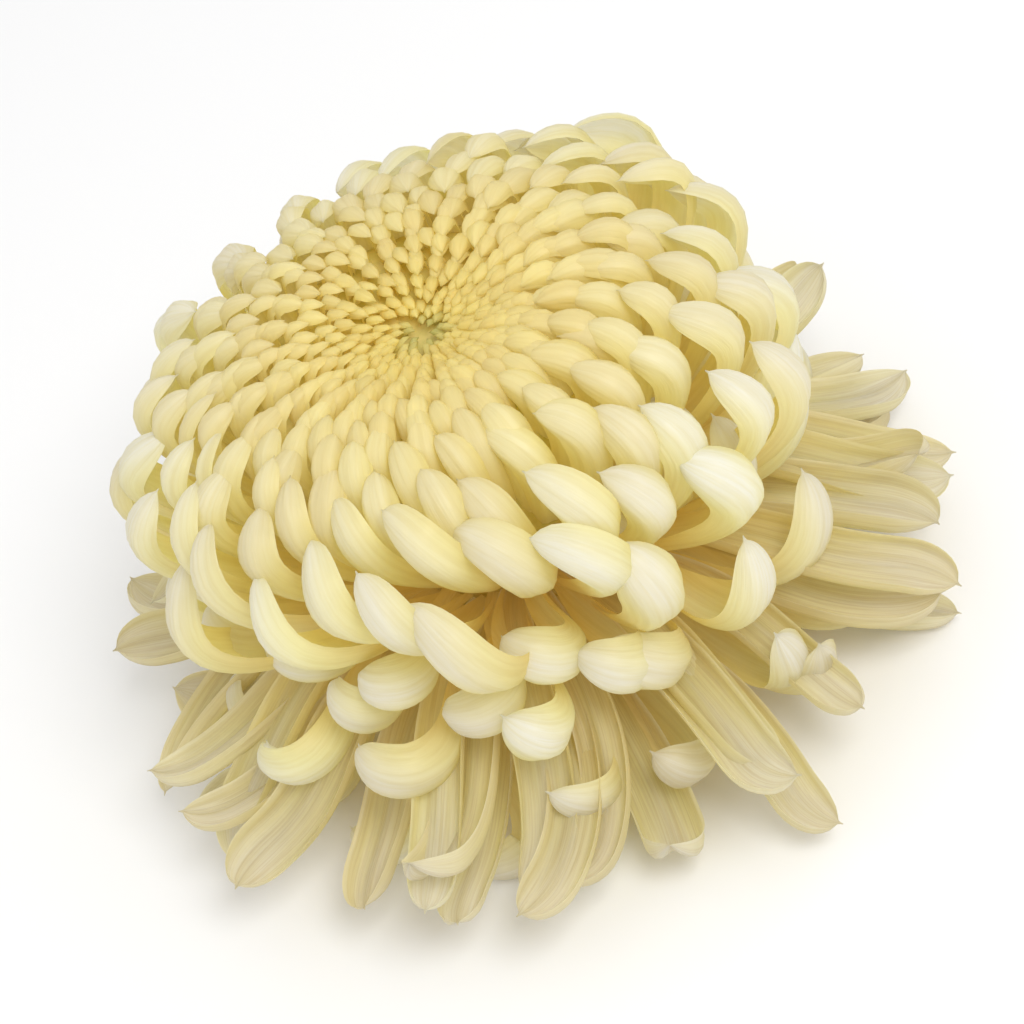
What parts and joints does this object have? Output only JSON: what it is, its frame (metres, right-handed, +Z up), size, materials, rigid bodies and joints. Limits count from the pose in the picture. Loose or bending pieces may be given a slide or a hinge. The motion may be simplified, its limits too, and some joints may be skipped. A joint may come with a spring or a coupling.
{
  "type": "pompon chrysanthemum",
  "caption": "Cut double chrysanthemum bloom: an incurved dome of ray florets with a dimpled eye over curling claws and a drooping skirt, on a green involucre and a short peduncle.",
  "frame": {"origin": "on the surface that the bloom stands on, at the middle of the bounding box", "axes": "+Z up along the axis of the head, from the cut peduncle to the eye; the florets of the side towards -X and -Y are the ones swept sideways"},
  "size_m": [0.1426, 0.143, 0.0784],
  "materials": {
    "petal": "soft satin petal, cream at the tips and golden at the roots",
    "bract": "matt green with paler margins",
    "stalk": "matt green, low-ribbed, pale at the cut"
  },
  "bodies": {
    "root": {"ray_florets": "petal", "involucre": "bract", "peduncle": "stalk"}
  },
  "joints": []
}
